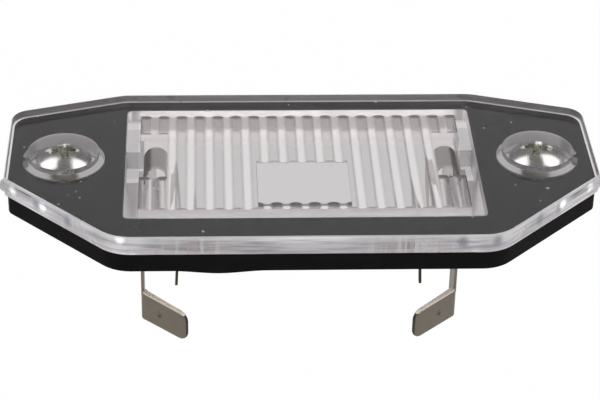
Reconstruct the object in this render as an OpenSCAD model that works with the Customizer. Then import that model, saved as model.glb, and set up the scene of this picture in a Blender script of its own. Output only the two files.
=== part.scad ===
// Number plate lamp: a one-piece clear lens with a soft gasket behind it,
// two spring contacts for a festoon bulb and two fixing screws.
// The origin is on the back of the gasket, midway between the screws.
// +X runs along the lamp, +Y towards its straight back edge, +Z out of the lens.

/* [Lens plate] */
// Overall length of the lens plate
lens_l = 84; // [78:0.5:92]
// Screw line to the front edge
lens_front = 22.4; // [21:0.1:26]
// Screw line to the back edge
lens_back = 16.1; // [15:0.1:20]
// Length of the straight front edge
front_flat = 52.8; // [44:0.2:58]
// Length of the straight back edge
back_flat = 51.6; // [44:0.2:58]
// Screw line to the front end of each short side
side_front = 7.1; // [6:0.1:10]
// Screw line to the back end of each short side
side_back = 11.2; // [9:0.1:13]
// Thickness of the lens plate
plate_t = 2.9; // [2.6:0.1:4]
// Corner radius at the front and back edges
long_corner_r = 6; // [3:0.5:8]
// Corner radius at the back end of each short side
side_back_r = 2.8; // [1:0.1:4]
// Corner radius at the front end of each short side
side_front_r = 1.1; // [0.9:0.1:3]
// Chamfer round the rim of the plate
rim_chamfer = 0.15; // [0.1:0.05:0.6]
// Radius of the small round lug at the front end of each short side
lug_r = 1; // [0.6:0.1:1.3]
// How far the lug stands out from the short side
lug_out = 0.7; // [0.3:0.1:0.9]
// Screw line to the middle of the lug, towards the front
lug_front = 6.6; // [5:0.1:6.8]

/* [Window] */
// Gasket left between the spigot and each boss
ring_web = 2.95; // [2:0.05:4]
// Front edge of the plate to the spigot
margin_front = 6.8; // [5:0.1:8]
// Back edge of the plate to the spigot
margin_back = 2.7; // [2:0.1:4.5]
// Wall of the spigot
ring_wall = 2; // [1.2:0.1:2.4]
// Height of the spigot below the plate
ring_h = 4.4; // [3.4:0.1:6]
// Outside corner radius of the spigot
ring_corner_r = 0.8; // [0.4:0.1:1.6]
// Spacing of the flutes
flute_pitch = 2.64; // [2:0.02:3.4]
// Width of one flute, the rest of the spacing is a rounded rib
flute_w = 1.5; // [1:0.1:1.9]
// Depth of one flute
flute_depth = 0.7; // [0.3:0.05:0.9]
// Length of the plain pad in the middle of the flutes
pad_l = 13; // [8:0.5:18]
// Width of the plain pad
pad_w = 11; // [7:0.5:13]
// Plain pad to the front wall of the spigot
pad_gap = 1.3; // [1:0.1:2.6]
// Height of the plain pad below the plate
pad_h = 0.35; // [0.1:0.05:1]

/* [Screw seats] */
// End of the plate to the middle of the screw
screw_edge = 8; // [7.5:0.1:9]
// Diameter of the cup that takes the screw head
cup_d = 10.2; // [9:0.1:10.6]
// Depth of the cup
cup_depth = 1.9; // [1.2:0.1:2.2]
// Outside diameter of the boss that passes through the gasket
boss_d = 11.7; // [11.4:0.1:12.4]
// Diameter of the clearance hole for the screw
boss_hole_d = 4.7; // [4.5:0.1:5]
// How far the boss stops short of the back of the gasket
boss_relief = 0.3; // [0.1:0.1:0.8]

/* [Gasket] */
// Thickness of the gasket
gasket_t = 2.9; // [2:0.1:4]
// How far the gasket's edge lies inside the edge of the plate
gasket_inset = 0.4; // [0.3:0.1:1.2]
// Least radius of the gasket's corners
gasket_corner_r = 1.8; // [0.8:0.1:2.2]
// Clearance between the gasket and the mouldings that pass through it
gasket_gap = 0.1; // [0.05:0.05:0.3]
// Length of the tooth that keys the gasket to each boss
tooth_l = 0.8; // [0.5:0.1:1.2]
// Width of the tooth at its root
tooth_w = 1.2; // [0.8:0.1:2]

/* [Contact seats] */
// Screw line to the middle of the contacts, towards the back
seat_y = 0.6; // [0:0.1:1.2]
// Width of the seat
seat_w = 8.3; // [8:0.1:10]
// Depth of the seat below the back of the gasket
seat_drop = 8; // [6:0.5:10]
// Thickness of the pad that the contact lies against
seat_pad = 0.6; // [0.3:0.1:1]
// Thickness of the lips that hold the contact's edges
lip_t = 1; // [0.8:0.1:1.2]
// How far the lips reach over the contact
lip_reach = 0.65; // [0.4:0.05:1]
// Clearance round the contact in its slot
slot_gap = 0.05; // [0.03:0.01:0.1]
// Length of the plain patch round the contact, along the lamp
patch_l = 4; // [3.8:0.1:5]
// Width of the plain patch round the contact
patch_w = 12; // [10:0.2:14]

/* [Contacts] */
// Width of the contact strip
strip_w = 5.2; // [4.6:0.1:5.4]
// Thickness of the contact strip
strip_t = 0.4; // [0.3:0.05:0.5]
// Outside diameter of the contact's domed top
dome_d = 3.5; // [3:0.1:3.8]
// Clear space between the dome and the plate
dome_gap = 0.1; // [0.05:0.05:0.3]
// Height of the bulb's axis, below the back of the gasket
bulb_drop = 7.5; // [6.5:0.5:9]
// Outer leg to the face that the bulb's cap rests on
spring_reach = 5.1; // [4.6:0.1:5.6]
// Hole that takes the tip of the bulb's cap
cap_hole_d = 3.4; // [2.4:0.2:3.8]
// Width of the narrow tail of the spring leg
tail_w = 0.9; // [0.6:0.1:1.6]
// Tip of the tail, below the back of the gasket
tail_drop = 17.9; // [15:0.1:20]
// Outer leg to the tail's tip
tail_in = 4.4; // [3:0.1:4.8]
// How far the outer leg steps outwards below its seat
leg_step = 0.75; // [0.2:0.05:1.2]
// Length of the terminal blade
blade_l = 8.9; // [7:0.1:10]
// Height of the terminal blade
blade_h = 4.8; // [4:0.1:6.3]
// Thickness of the terminal blade, folded double
blade_t = 0.8; // [0.6:0.05:1]
// Lower edge of the blade, below the back of the gasket
blade_drop = 22.05; // [20:0.05:24]
// Angle of the blade to the length of the lamp
blade_angle = 44; // [35:1:55]
// Corner radius at the end of the blade
blade_end_r = 1.5; // [0.5:0.1:2]
// Diameter of the latching dimple in the blade
dimple_d = 1.1; // [0.6:0.1:1.6]
// Depth of the dimple
dimple_depth = 0.22; // [0.1:0.02:0.3]
// Distance of the dimple from the fold
dimple_x = 3.5; // [2.5:0.1:5]

/* [Screws] */
// Diameter of the screw head
head_d = 8; // [7:0.1:9]
// Height of the screw head
head_h = 2.3; // [1.8:0.1:2.6]
// Height of the straight edge of the head
head_edge = 0.6; // [0.3:0.1:1]
// Diameter of the screw's thread
shank_d = 4.2; // [3.8:0.1:4.3]
// Diameter of the plain neck that stands in the boss
neck_d = 3.4; // [2.8:0.1:3.6]
// Length of the screw below its head
shank_l = 13; // [9.5:0.5:16]
// Length of the screw's point
point_l = 2.6; // [1.6:0.2:4]
// Distance across the wings of the cross recess
recess_l = 4.8; // [3.6:0.1:5.4]
// Width of each wing of the recess
recess_w = 1.15; // [0.8:0.05:1.4]
// Depth of the recess
recess_depth = 1.5; // [1:0.1:1.7]
// Turn of the recess on the left screw
recess_turn_left = 12; // [0:1:90]
// Turn of the recess on the right screw
recess_turn_right = -18; // [-90:1:0]

/* [Hidden] */
$fn = 64;

// Faces round a corner of an outline, and round the bends of the strip
corner_n = 8;
bend_n = 6;
dome_n = 20;
// A cut runs this far past the face that it opens
past = 0.5;

// Heights of the faces that the pieces share
plate_z = gasket_t;
top_z = plate_z + plate_t;
ring_z = plate_z - ring_h;
seat_z = -seat_drop;
cup_z = top_z - cup_depth;

// The screws keep their distance from the ends, and the spigot from the bosses and edges
screw_x = lens_l / 2 - screw_edge;
ring_x = screw_x - boss_d / 2 - ring_web;
ring_front = lens_front - margin_front;
ring_back = lens_back - margin_back;

// Inside of the spigot
ring_in_x = ring_x - ring_wall;
ring_in_front = -ring_front + ring_wall;
ring_in_back = ring_back - ring_wall;
pad_y = ring_in_front + pad_gap;

// The flutes fill the spigot, and its walls cut the ones at the ends
flute_n = round(2 * ring_in_x / flute_pitch);

// A flute and the rib beside it meet in one smooth wave, and each rib's crown is a narrow flat
rib_flat = 0.03;
flute_slope = 2 * atan(2 * (flute_depth + rib_flat) / flute_pitch);
flute_r = flute_w / 2 / sin(flute_slope);
rib_w = flute_pitch - flute_w;
rib_r = rib_w / 2 / sin(flute_slope);
wave_n = 5;

// Faces of the contact's outer leg, and the middle line of the strip
leg_out_x = ring_in_x - seat_pad;
leg_x = leg_out_x - strip_t / 2;
spring_x = leg_out_x - dome_d + strip_t / 2;
dome_z = plate_z - dome_gap - dome_d / 2;
dome_x = leg_out_x - dome_d / 2;
elbow_x = leg_out_x - spring_reach + strip_t / 2;
tail_x = leg_out_x - tail_in;
elbow_r = 1.2;
foot_x = leg_x + leg_step;
foot_out_x = foot_x + strip_t / 2;
fold_y = seat_y - strip_w / 2;
foot_top_z = blade_h - blade_drop;

// Below its seat the outer leg steps outwards over this height
step_gap = 0.6;
step_h = 2;
step_r = 0.8;

// The spring leg narrows to its tail over this height
taper_top = 2.8;
taper_h = 2.2;

// Teeth on the edges of the outer leg that bite into the slot
barb_h = 1.2;
barb_n = 2;
barb_step = 2.6;
barb_top = -1.2;

// Inside radius of the fold, and corner radius of the blade beside it
fold_r = 0.4;
blade_r = 0.8;

// The strip lies double from the blade to just past the fold
double_l = (fold_r + blade_t) * tan(45 - blade_angle / 2) + 0.1;
double_lap = 0.3;

// The lips stop short of the dome
lip_top_z = dome_z - 0.8;
// The recess narrows towards its bottom by this share of its span
recess_draft = 0.45;
// Small chamfer under the screw head's edge and at the boss's mouth
edge_break = 0.2;

function unit(v) = v / norm(v);

// Points of a round corner at p, between the points before and after it
function round_corner(before, p, after, r, n) =
    let (
        u = unit(before - p),
        v = unit(after - p),
        half = acos(u * v) / 2,
        centre = p + unit(u + v) * r / sin(half),
        from = p + u * r / tan(half) - centre,
        turn = sign(cross(p - before, after - p)),
        start = atan2(from[1], from[0]),
        sweep = turn * (180 - 2 * half)
    )
    [for (i = [0:n]) centre + r * [cos(start + sweep * i / n), sin(start + sweep * i / n)]];

// A closed outline with every corner rounded
function rounded(pts, radii, n) =
    let (count = len(pts))
    [for (i = [0:count - 1])
        each round_corner(pts[(i + count - 1) % count], pts[i], pts[(i + 1) % count], radii[i], n)];

// A closed convex outline moved inwards by d
function moved_in(pts, d) =
    let (count = len(pts))
    [for (i = [0:count - 1])
        let (
            p = pts[i],
            a = unit(p - pts[(i + count - 1) % count]),
            b = unit(pts[(i + 1) % count] - p),
            na = [-a[1], a[0]],
            nb = [-b[1], b[0]]
        )
        p + d * (na + nb) / (1 + na * nb)];

// An open path with its inner corners rounded
function rounded_path(pts, radii, n) =
    [for (i = [0:len(pts) - 1])
        each (i == 0 || i == len(pts) - 1
            ? [pts[i]]
            : round_corner(pts[i - 1], pts[i], pts[i + 1], radii[i], n))];

// One side of a path, moved across by d
function beside(path, d) =
    let (last = len(path) - 1)
    [for (i = [0:last])
        let (
            a = unit(path[max(i, 1)] - path[max(i, 1) - 1]),
            b = unit(path[min(i + 1, last)] - path[min(i + 1, last) - 1]),
            na = [-a[1], a[0]],
            nb = [-b[1], b[0]]
        )
        path[i] + d * (na + nb) / (1 + na * nb)];

// The outline of a strip of thickness t along a path
function strip(path, t) =
    let (left = beside(path, t / 2), right = beside(path, -t / 2))
    concat(left, [for (i = [len(right) - 1:-1:0]) right[i]]);

// Outline of the plate, counterclockwise from the front right
function plate_points() = [
    [front_flat / 2, -lens_front],
    [lens_l / 2, -side_front],
    [lens_l / 2, side_back],
    [back_flat / 2, lens_back],
    [-back_flat / 2, lens_back],
    [-lens_l / 2, side_back],
    [-lens_l / 2, -side_front],
    [-front_flat / 2, -lens_front]
];

function plate_radii() = [
    long_corner_r, side_front_r, side_back_r, long_corner_r,
    long_corner_r, side_back_r, side_front_r, long_corner_r
];

function box_points(x, front, back) = [[x, front], [x, back], [-x, back], [-x, front]];

// The plate's outline moved in by d, with its corners rounded to match
module plate_outline(d, least = 0.2) {
    polygon(rounded(moved_in(plate_points(), d), [for (r = plate_radii()) max(r - d, least)], corner_n));
}

// The plate with a chamfer round both of its rims
module plate_body() {
    hull() {
        translate([0, 0, plate_z])
            linear_extrude(plate_t)
                plate_outline(rim_chamfer);
        translate([0, 0, plate_z + rim_chamfer])
            linear_extrude(plate_t - 2 * rim_chamfer)
                plate_outline(0);
    }
}

// The round lug on the edge of the plate
module lug() {
    translate([lens_l / 2 + lug_out - lug_r, -lug_front, plate_z + plate_t / 2])
        sphere(r = lug_r, $fn = 32);
}

// A rounded rectangle the size of the spigot, moved out by d
module ring_outline(d) {
    polygon(rounded(
        box_points(ring_x + d, -ring_front - d, ring_back + d),
        [for (i = [0:3]) ring_corner_r + d],
        corner_n
    ));
}

// The wall that stands behind the window and drops into the panel
module spigot() {
    translate([0, 0, ring_z])
        linear_extrude(ring_h)
            difference() {
                ring_outline(0);
                polygon(box_points(ring_in_x, ring_in_front, ring_in_back));
            }
}

// One seat: a deep stretch of the spigot with a slot for the contact's leg
module contact_seat() {
    slot_half = strip_w / 2 + slot_gap;
    cheek_w = seat_w / 2 - slot_half;
    // Each lip is rooted halfway into its cheek
    lip_w = lip_reach + cheek_w / 2;
    lip_x = leg_out_x - strip_t - slot_gap - lip_t;
    // Back of the seat
    translate([leg_out_x, seat_y - seat_w / 2, seat_z])
        cube([ring_x - leg_out_x, seat_w, plate_z - seat_z]);
    for (side = [-1, 1]) {
        // Cheek beside the leg
        translate([lip_x, seat_y + side * (slot_half + cheek_w / 2) - cheek_w / 2, seat_z])
            cube([ring_in_x - lip_x, cheek_w, lip_top_z - seat_z]);
        // Lip over the leg's edge
        translate([lip_x, seat_y + side * (slot_half + cheek_w / 2 - lip_w / 2) - lip_w / 2, seat_z])
            cube([lip_t, lip_w, lip_top_z - seat_z]);
    }
}

// The boss that carries the screw, with its key slot on the outer side
module boss() {
    difference() {
        translate([screw_x, 0, boss_relief])
            cylinder(d = boss_d, h = plate_z + plate_t / 2 - boss_relief);
        translate([screw_x + boss_d / 2, 0, 0])
            linear_extrude(plate_z)
                polygon([
                    [past, -tooth_w / 2 - gasket_gap],
                    [past, tooth_w / 2 + gasket_gap],
                    [0, tooth_w / 2 + gasket_gap],
                    [-tooth_l, 0],
                    [0, -tooth_w / 2 - gasket_gap]
                ]);
    }
}

// The cup for the screw head and the hole below it
module screw_bore() {
    translate([screw_x, 0, 0]) {
        translate([0, 0, cup_z])
            cylinder(d = cup_d, h = cup_depth + past);
        translate([0, 0, -past])
            cylinder(d = boss_hole_d, h = top_z + past);
    }
}

// One wave of the window's underside, from one rib's crown up to just before the next
function wave(x) = concat(
    [for (i = [0:wave_n - 1])
        let (a = flute_slope * i / wave_n)
        [x - flute_pitch / 2 + rib_r * sin(a), rib_r * (1 - cos(a)) - rib_flat]],
    [for (i = [-wave_n:wave_n])
        let (a = flute_slope * i / wave_n)
        [x + flute_r * sin(a), flute_depth - flute_r * (1 - cos(a))]],
    [for (i = [wave_n - 1:-1:1])
        let (a = flute_slope * i / wave_n)
        [x + flute_pitch / 2 - rib_r * sin(a), rib_r * (1 - cos(a)) - rib_flat]]
);

// The waves side by side, as a shape that is cut from below
module wave_outline() {
    half = flute_n * flute_pitch / 2;
    polygon(concat(
        [[-half, -past]],
        [for (i = [0:flute_n - 1]) each wave(-half + (i + 0.5) * flute_pitch)],
        [[half, -rib_flat], [half, -past]]
    ));
}

// The flutes in the window, left out at the pad and round the contacts
module flute_cut() {
    low = plate_z - 2 * past;
    reach = 2 * past + 2 * flute_depth;
    difference() {
        intersection() {
            translate([0, ring_in_back, plate_z])
                rotate([90, 0, 0])
                    linear_extrude(ring_in_back - ring_in_front)
                        wave_outline();
            translate([-ring_in_x, ring_in_front, plate_z - past])
                cube([2 * ring_in_x, ring_in_back - ring_in_front, past + flute_depth + past]);
        }
        translate([-pad_l / 2, pad_y, low])
            cube([pad_l, pad_w, reach]);
        for (side = [-1, 1])
            translate([side * (ring_in_x - patch_l / 2) - patch_l / 2, seat_y - patch_w / 2, low])
                cube([patch_l, patch_w, reach]);
    }
}

module lens() {
    color([0.86, 0.86, 0.88, 0.45])
        difference() {
            union() {
                difference() {
                    plate_body();
                    flute_cut();
                }
                spigot();
                translate([-pad_l / 2, pad_y, plate_z - pad_h])
                    cube([pad_l, pad_w, pad_h]);
                for (side = [0, 1])
                    mirror([side, 0, 0]) {
                        lug();
                        contact_seat();
                        boss();
                    }
            }
            for (side = [0, 1])
                mirror([side, 0, 0])
                    screw_bore();
        }
}

// The soft sheet behind the plate, keyed to the bosses
module gasket() {
    color([0.09, 0.09, 0.09])
        linear_extrude(gasket_t)
            difference() {
                plate_outline(gasket_inset, gasket_corner_r);
                ring_outline(gasket_gap);
                for (side = [0, 1])
                    mirror([side, 0, 0])
                        boss_hole();
            }
}

module boss_hole() {
    hole_r = boss_d / 2 + gasket_gap;
    translate([screw_x, 0])
        difference() {
            circle(r = hole_r);
            polygon([
                [hole_r + past, -tooth_w / 2],
                [hole_r + past, tooth_w / 2],
                [hole_r - gasket_gap, tooth_w / 2],
                [hole_r - tooth_l, 0],
                [hole_r - gasket_gap, -tooth_w / 2]
            ]);
        }
}

// Side view of the strip: up from the foot, over the dome and down the spring leg
function strip_path() = concat(
    rounded_path(
        [
            [foot_x, foot_top_z - past],
            [foot_x, seat_z - step_gap - step_h],
            [leg_x, seat_z - step_gap],
            [leg_x, dome_z]
        ],
        [0, step_r, step_r, 0],
        bend_n
    ),
    [for (i = [1:dome_n - 1])
        [dome_x, dome_z] + (dome_d - strip_t) / 2 * [cos(180 * i / dome_n), sin(180 * i / dome_n)]],
    rounded_path(
        [[spring_x, dome_z], [elbow_x, -bulb_drop], [tail_x, -tail_drop]],
        [0, elbow_r, 0],
        bend_n
    )
);

// Stands a side view up and gives it the width w across the lamp
module across(w) {
    translate([0, seat_y + w / 2, 0])
        rotate([90, 0, 0])
            linear_extrude(w)
                children();
}

// The rounded end of the tail, in the spring leg's front view
function tail_end() = [for (i = [0:bend_n])
    [-tail_w / 2 * cos(180 * i / bend_n), tail_w / 2 - tail_drop - tail_w / 2 * sin(180 * i / bend_n)]];

// Front view of the spring leg: full width at the bulb, then a narrow tail
module spring_front() {
    shoulder_z = -bulb_drop - taper_top;
    difference() {
        polygon(concat(
            [[-strip_w / 2, dome_z], [-strip_w / 2, shoulder_z], [-tail_w / 2, shoulder_z - taper_h]],
            tail_end(),
            [[tail_w / 2, shoulder_z - taper_h], [strip_w / 2, shoulder_z], [strip_w / 2, dome_z]]
        ));
        translate([0, -bulb_drop])
            circle(d = cap_hole_d);
    }
}

// What is cut from the strip to leave the spring leg's front view
module spring_cut() {
    translate([elbow_x - dome_d / 2, seat_y, 0])
        rotate([90, 0, 90])
            linear_extrude(dome_x - elbow_x + dome_d / 2)
                difference() {
                    translate([-strip_w, -tail_drop - past])
                        square([2 * strip_w, tail_drop + past + dome_z]);
                    spring_front();
                }
}

// The teeth on the edges of the outer leg
module barbs() {
    for (side = [-1, 1])
        for (i = [0:barb_n - 1])
            translate([leg_out_x - strip_t, seat_y + side * strip_w / 2, barb_top - i * barb_step])
                rotate([90, 0, 90])
                    linear_extrude(strip_t)
                        polygon([[0, 0], [side * slot_gap, -barb_h], [0, -barb_h]]);
}

// The foot in plan: a short stretch of the leg, the fold and the blade
function foot_path() =
    let (
        x = foot_out_x - blade_t / 2,
        y = fold_y + blade_t / 2 * tan(45 - blade_angle / 2)
    )
    rounded_path(
        [[x, fold_y + double_l], [x, y], [x, y] - blade_l * [cos(blade_angle), sin(blade_angle)]],
        [0, fold_r + blade_t / 2, 0],
        bend_n
    );

// The blade's outline as seen square to its face
module blade_outline() {
    polygon(rounded(
        [[0, 0], [0, blade_h], [-blade_l - strip_w, blade_h], [-blade_l - strip_w, 0]],
        [blade_end_r, blade_end_r, blade_r, blade_r],
        bend_n
    ));
}

// The folded foot, cut to the blade's outline and dimpled
module foot() {
    path = foot_path();
    end = path[len(path) - 1];
    dimple_r = (dimple_d * dimple_d / 4 + dimple_depth * dimple_depth) / (2 * dimple_depth);
    difference() {
        union() {
            intersection() {
                translate([0, 0, -blade_drop])
                    linear_extrude(blade_h)
                        polygon(strip(path, blade_t));
                translate([end[0], end[1], -blade_drop])
                    rotate([90, 0, blade_angle - 180])
                        translate([0, 0, -strip_w])
                            linear_extrude(2 * strip_w)
                                blade_outline();
            }
            translate([foot_x - strip_t / 2, fold_y + double_l - double_lap, -blade_drop])
                cube([strip_t, strip_w - double_l + double_lap, blade_h]);
        }
        translate([end[0], end[1], blade_h / 2 - blade_drop])
            rotate([0, 0, blade_angle - 180])
                translate([dimple_x - blade_l, blade_t / 2 - dimple_depth + dimple_r, 0])
                    sphere(r = dimple_r);
    }
}

module contact() {
    color([0.50, 0.46, 0.42]) {
        difference() {
            across(strip_w)
                polygon(strip(strip_path(), strip_t));
            spring_cut();
        }
        barbs();
        foot();
    }
}

module contact_right() {
    contact();
}

module contact_left() {
    mirror([1, 0, 0])
        contact();
}

// One wing pair of the cross recess, narrower at its bottom
module recess_wing() {
    top = recess_l / 2 + past * recess_draft;
    rotate([90, 0, 0])
        linear_extrude(recess_w, center = true)
            polygon([
                [-top, past],
                [-recess_l / 2 * (1 - recess_draft), -recess_depth],
                [recess_l / 2 * (1 - recess_draft), -recess_depth],
                [top, past]
            ]);
}

// A pan-head screw standing in its cup, threaded from the back of the gasket on
module screw(turn) {
    rise = head_h - head_edge;
    dome_r = (head_d * head_d / 4 + rise * rise) / (2 * rise);
    color([0.82, 0.82, 0.80])
        translate([0, 0, cup_z])
            difference() {
                union() {
                    intersection() {
                        cylinder(d = head_d, h = head_h);
                        translate([0, 0, head_h - dome_r])
                            sphere(r = dome_r, $fn = 96);
                    }
                    rotate_extrude()
                        polygon([
                            [0, edge_break],
                            [neck_d / 2, edge_break],
                            [neck_d / 2, (shank_d - neck_d) / 2 - cup_z],
                            [shank_d / 2, -cup_z],
                            [shank_d / 2, point_l - shank_l],
                            [edge_break, -shank_l],
                            [0, -shank_l]
                        ]);
                }
                translate([0, 0, head_h])
                    for (wing = [0, 1])
                        rotate([0, 0, turn + 90 * wing])
                            recess_wing();
            }
}

module screw_left() {
    translate([-screw_x, 0, 0])
        screw(recess_turn_left);
}

module screw_right() {
    translate([screw_x, 0, 0])
        screw(recess_turn_right);
}

lens();
gasket();
contact_left();
contact_right();
screw_left();
screw_right();
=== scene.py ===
import math

import bmesh
import bpy
from mathutils import Matrix
from mathutils import Vector


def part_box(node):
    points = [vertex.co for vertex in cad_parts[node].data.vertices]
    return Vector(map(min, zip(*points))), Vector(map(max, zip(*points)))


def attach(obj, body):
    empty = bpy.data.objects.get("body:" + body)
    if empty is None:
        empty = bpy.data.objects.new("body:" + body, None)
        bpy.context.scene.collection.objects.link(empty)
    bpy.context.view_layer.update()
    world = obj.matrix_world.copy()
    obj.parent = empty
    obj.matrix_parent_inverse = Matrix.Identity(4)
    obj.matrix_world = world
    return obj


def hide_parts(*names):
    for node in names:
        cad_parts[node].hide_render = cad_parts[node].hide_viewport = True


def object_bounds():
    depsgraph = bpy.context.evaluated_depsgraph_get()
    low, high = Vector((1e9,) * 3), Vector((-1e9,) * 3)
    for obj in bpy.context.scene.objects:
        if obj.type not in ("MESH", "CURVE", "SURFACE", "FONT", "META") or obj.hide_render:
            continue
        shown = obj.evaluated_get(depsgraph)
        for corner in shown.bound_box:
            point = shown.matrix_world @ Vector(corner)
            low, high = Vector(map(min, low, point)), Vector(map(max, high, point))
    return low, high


bl_info = {
    "name": "Number Plate Lamp Finish",
    "version": (1, 0, 0),
    "blender": (4, 5, 0),
    "location": "View3D > Sidebar > Lamp",
    "description": "Dresses a packed number plate lamp with its clear lens, gasket, contacts and screws",
    "category": "Object",
}

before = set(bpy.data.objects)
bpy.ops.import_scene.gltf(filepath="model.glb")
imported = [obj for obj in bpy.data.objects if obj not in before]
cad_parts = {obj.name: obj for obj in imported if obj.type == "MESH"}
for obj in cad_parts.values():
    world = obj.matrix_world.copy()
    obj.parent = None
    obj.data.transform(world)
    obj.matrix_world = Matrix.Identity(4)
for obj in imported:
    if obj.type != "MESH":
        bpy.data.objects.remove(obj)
cad_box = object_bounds()

MM = 0.001
BODY = "root"
BLACK = (0, 0, 0, 1)
# Distance under which two points of a mesh are one
WELD = 0.001 * MM

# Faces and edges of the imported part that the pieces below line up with
LENS_LOW, LENS_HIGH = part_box("lens")
SCREW_LOW, SCREW_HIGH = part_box("screw_right")
CONTACT_LOW, CONTACT_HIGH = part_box("contact_right")
PLATE_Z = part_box("gasket")[1].z
SCREW_X = (SCREW_LOW.x + SCREW_HIGH.x) / 2
CUP_R = 5.3 * MM
LUG_X = 41.95 * MM
RING_X = 25.3 * MM
RING_BACK = LENS_HIGH.y - 2.6 * MM
RING_FRONT = LENS_LOW.y + 6.7 * MM
PATCH_X = 19.1 * MM
PATCH_TOP = PLATE_Z + 0.1 * MM
PAD_TOP = PLATE_Z - 0.2 * MM
GROOVE_TOP = PLATE_Z + 0.8 * MM
WALL_TOP = PLATE_Z - 0.5 * MM
WINDOW_X = 26 * MM
WINDOW_BACK = 14.5 * MM
BLADE_TOP = CONTACT_LOW.z + 4.8 * MM
BLADE_BACK = CONTACT_HIGH.y - 5.3 * MM
FOLD_R = 0.35 * MM
SPRING_X = 21.3 * MM
HEAD_TOP = SCREW_HIGH.z
HEAD_DOME_R = 5.556 * MM
HEAD_SEAT = 3.9 * MM
THREAD_R = 2.1 * MM
NECK_R = 1.7 * MM
POINT_L = 2.6 * MM

# Stretches over which one tone of a surface passes into the next, from and to; most of these tones are
# painted light, painted shade or painted glow
GROOVE_RISE = (PLATE_Z + 0.12 * MM, PLATE_Z + 0.5 * MM)
BOSS_START = (27.5 * MM, 28.5 * MM)
WALL_SIDE = (23.3 * MM, 23.6 * MM)
WALL_BACK = (10.9 * MM, 11.2 * MM)
WALL_OUTSIDE = (12.6 * MM, 13.0 * MM)
WALL_LIP = (LENS_HIGH.z - 0.5 * MM, LENS_HIGH.z - 0.1 * MM)
PLATE_START = (PLATE_Z, PLATE_Z + 0.2 * MM)
SEAT_EDGE = (1.8 * MM, 2.4 * MM)
RIM_FOOT = (PLATE_Z + 0.2 * MM, PLATE_Z + 0.7 * MM)
RIM_CROWN = (LENS_HIGH.z - 0.9 * MM, LENS_HIGH.z - 0.1 * MM)
RIM_FAR = (9 * MM, 11 * MM)
SPRING_BACK = (BLADE_BACK - 0.4 * MM, BLADE_BACK)
SPRING_SIDE = (SPRING_X, SPRING_X + 0.5 * MM)
SPRING_PALE = (-9 * MM, -6 * MM)
FOLD_TOP = (BLADE_TOP - 0.3 * MM, BLADE_TOP - 0.12 * MM)
RECESS_DEPTH = (HEAD_DOME_R - 0.2 * MM, HEAD_DOME_R - 0.08 * MM)
RECESS_REACH = (2.9 * MM, 3.0 * MM)

# Middles of the small marks on the rim, in millimetres: painted glints, painted dark patches of shade and
# dark slits
RIM_GLINTS = (
    (-40.7, -8.4, 4.6),
    (-36.3, -12.7, 4.6),
    (35.9, -13.1, 4.7),
    (40.4, -8.7, 4.7),
    (-25.4, -22.3, 5.4),
)
RIM_PATCHES = (
    (-37.2, -11.8, 4.3),
    (-32.7, -16.2, 4.5),
    (32.2, -16.7, 4.6),
    (35.2, -13.7, 4.3),
    (21.0, -22.4, 4.7),
    (25.8, -22.4, 4.7),
)
RIM_SLITS = ((-38.8, -10.2, 5.15), (38.2, -10.9, 5.1))
# Middles of the painted glints on the upper edges of the screws' recesses, in millimetres
RECESS_GLINTS = (
    (-36.1, 0.4, 5.6),
    (-33.6, 2.0, 5.7),
    (-32.2, 0.3, 5.8),
    (32.1, 0.5, 5.7),
    (34.5, 2.0, 5.7),
    (35.8, 0.4, 5.7),
)
# Middles of the places where dust has gathered on the rubber, in millimetres
DUST_HEAPS = ((-32.3, -8.5, 2.9), (-29.2, -5.2, 2.9), (30.8, -6.9, 2.9), (36.0, -6.4, 2.9))
# Stretches of the front rim with painted upright streaks of light and shade: middle and half length, in
# millimetres
RIM_STREAKS = ((-16.0, 6.5), (13.4, 8.5))

# The gasket's sagging front edge and its back edge that reaches out, in millimetres
SAG_MIDDLE_X = -12.0
SAG_HALF_L = 6.5
SAG_START_Y = 17.5
SAG_RUN = 3.6
SAG_LINE_Y = -18.5
SAG_CUTS_X = range(-20, -3)
REACH_OUT = 0.3
REACH_START_Y = 9
REACH_RUN = 3

# The studio's lamps: name, place, width and depth in metres, and power in watts
STUDIO_LAMPS = (
    ("left_lamp", (-0.54, 0.10, 0.60), (0.55, 0.70), 1.75),
    ("right_lamp", (0.54, 0.10, 0.60), (0.55, 0.70), 1.75),
    ("front_lamp", (0.0, -0.85, 0.30), (0.90, 0.30), 2.0),
)
# Share of the backdrop's own white in what the camera sees of the floor
BACKDROP_SHARE = 0.97
FLOOR_HALF = 6.0
SENSOR_W = 36.0
CLIP_NEAR = 0.01
CLIP_FAR = 20.0


# Sizes and colours that a user can change


def colour_setting(name, description, default):
    """A colour."""
    return bpy.props.FloatVectorProperty(
        name=name,
        description=description,
        subtype="COLOR",
        size=3,
        min=0,
        max=1,
        default=default,
    )


def length_setting(name, description, low, high, default):
    """A length in metres with its limits."""
    return bpy.props.FloatProperty(
        name=name,
        description=description,
        subtype="DISTANCE",
        unit="LENGTH",
        min=low,
        max=high,
        default=default,
    )


def angle_setting(name, description, default):
    """An angle in radians."""
    return bpy.props.FloatProperty(
        name=name,
        description=description,
        subtype="ANGLE",
        unit="ROTATION",
        default=default,
    )


def number_setting(name, description, low, high, default):
    """A plain number with its limits."""
    return bpy.props.FloatProperty(name=name, description=description, min=low, max=high, default=default)


class LampLensSettings(bpy.types.PropertyGroup):
    tint: colour_setting(
        "Tint", "Colour that the clear plastic gives to light passing through it", (0.77, 0.745, 0.75)
    )
    haze: colour_setting(
        "Haze", "Colour of the upright faces, which are duller than the flat ones", (0.90, 0.87, 0.89)
    )
    rim: colour_setting("Rim", "Colour of the plate's rim", (0.86, 0.84, 0.87))
    refraction: number_setting("Refraction", "Refractive index of the clear plastic", 1.3, 1.7, 1.49)
    ripple: length_setting("Ripple", "Height of the moulding ripple in its faces", 0, 0.0001, 0.000012)


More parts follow.
